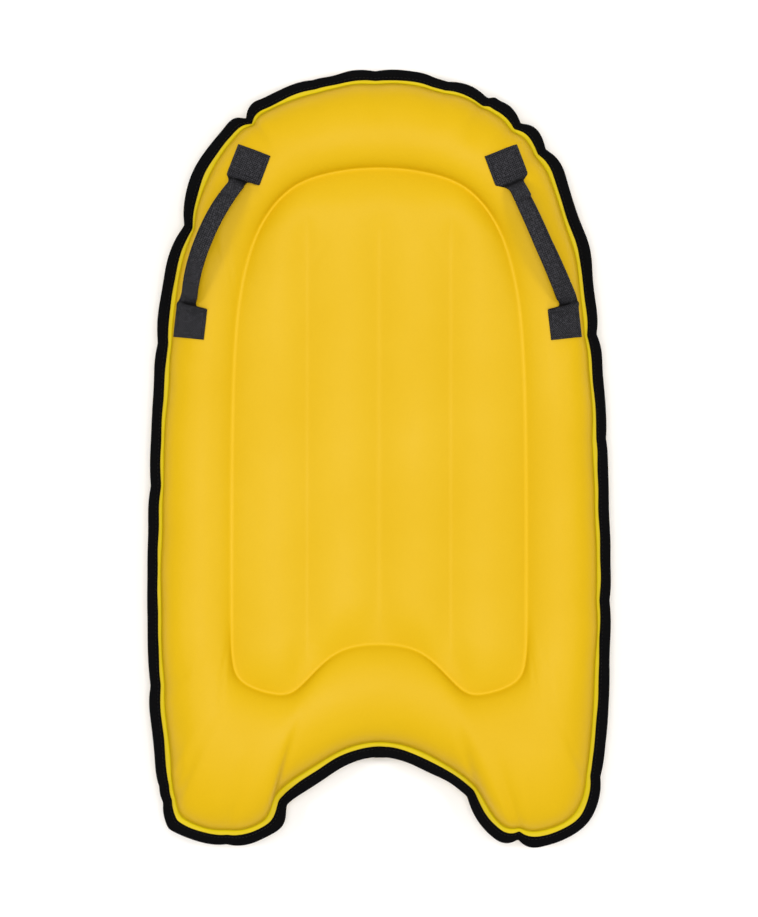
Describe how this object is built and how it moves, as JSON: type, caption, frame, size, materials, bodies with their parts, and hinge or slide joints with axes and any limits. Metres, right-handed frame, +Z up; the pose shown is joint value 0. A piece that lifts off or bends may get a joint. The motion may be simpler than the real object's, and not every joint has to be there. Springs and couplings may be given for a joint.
{
  "type": "inflatable bodyboard",
  "caption": "Inflatable bodyboard with an outer tube, a channelled mattress, a notched tail, a bound edge, webbing handles and stem valves.",
  "frame": {"origin": "middle of the board's box, on the surface that it lies on", "axes": "+X to the rider's right, +Y to the nose, +Z up through the deck"},
  "size_m": [0.487, 0.8168, 0.1047],
  "materials": {
    "deck_fabric": "matte",
    "slick_fabric": "matte",
    "baffle_fabric": "matte",
    "binding_tape": "matte",
    "binding_thread": "satin",
    "webbing": "matte",
    "handle_thread": "satin",
    "valve_flange": "satin",
    "valve_stem": "satin",
    "valve_cap": "satin"
  },
  "bodies": {
    "root": {"tube_deck_skin": "deck_fabric", "mattress_deck_skin": "deck_fabric", "tube_slick_skin": "slick_fabric", "mattress_slick_skin": "slick_fabric", "centre_baffle": "baffle_fabric", "left_baffle": "baffle_fabric", "right_baffle": "baffle_fabric", "inner_wall": "baffle_fabric", "edge_binding": "binding_tape", "binding_deck_thread": "binding_thread", "binding_slick_thread": "binding_thread", "left_handle_front_tab": "webbing", "left_handle_rear_tab": "webbing", "left_handle_front_bend": "webbing", "left_handle_rear_bend": "webbing", "left_handle_tab_stitching": "handle_thread", "right_handle_front_tab": "webbing", "right_handle_rear_tab": "webbing", "right_handle_front_bend": "webbing", "right_handle_rear_bend": "webbing", "right_handle_tab_stitching": "handle_thread", "tube_valve_flange": "valve_flange", "mattress_valve_flange": "valve_flange"},
    "left_handle": {"left_handle_grip": "webbing", "left_handle_grip_seam": "handle_thread"},
    "right_handle": {"right_handle_grip": "webbing", "right_handle_grip_seam": "handle_thread"},
    "tube_valve_stem": {"tube_valve_stem": "valve_stem", "tube_valve_tether": "valve_stem"},
    "tube_valve_flap": {"tube_valve_flap": "valve_stem"},
    "tube_valve_cap": {"tube_valve_cap": "valve_cap"},
    "mattress_valve_stem": {"mattress_valve_stem": "valve_stem", "mattress_valve_tether": "valve_stem"},
    "mattress_valve_flap": {"mattress_valve_flap": "valve_stem"},
    "mattress_valve_cap": {"mattress_valve_cap": "valve_cap"}
  },
  "joints": [
    {"name": "left_handle_swing", "type": "hinge", "parent": "root", "child": "left_handle", "pos_m": [-0.14554, 0.29449, 0.08137], "axis": [-0.3769, -0.924, -0.0649], "range_deg": [-70, 50], "deforming": ["left_handle_front_bend", "left_handle_rear_bend"]},
    {"name": "right_handle_swing", "type": "hinge", "parent": "root", "child": "right_handle", "pos_m": [0.14554, 0.29449, 0.08137], "axis": [-0.3769, 0.924, 0.0649], "range_deg": [-50, 70], "deforming": ["right_handle_front_bend", "right_handle_rear_bend"]},
    {"name": "tube_valve_stem_slide", "type": "slide", "parent": "root", "child": "tube_valve_stem", "axis": [0, 0, -1], "range_m": [0, 0.01]},
    {"name": "tube_valve_flap_hinge", "type": "hinge", "parent": "tube_valve_stem", "child": "tube_valve_flap", "pos_m": [0.0054, -0.24868, 0.02024], "axis": [0, 1, 0], "range_deg": [0, 35]},
    {"name": "tube_valve_cap_slide", "type": "slide", "parent": "tube_valve_stem", "child": "tube_valve_cap", "axis": [0, 0, -1], "range_m": [0, 0.009], "deforming": ["tube_valve_tether"]},
    {"name": "mattress_valve_stem_slide", "type": "slide", "parent": "root", "child": "mattress_valve_stem", "axis": [0, 0, -1], "range_m": [0, 0.01]},
    {"name": "mattress_valve_flap_hinge", "type": "hinge", "parent": "mattress_valve_stem", "child": "mattress_valve_flap", "pos_m": [0.0409, -0.12468, 0.02797], "axis": [0, 1, 0], "range_deg": [0, 35]},
    {"name": "mattress_valve_cap_slide", "type": "slide", "parent": "mattress_valve_stem", "child": "mattress_valve_cap", "axis": [0, 0, -1], "range_m": [0, 0.009], "deforming": ["mattress_valve_tether"]}
  ]
}
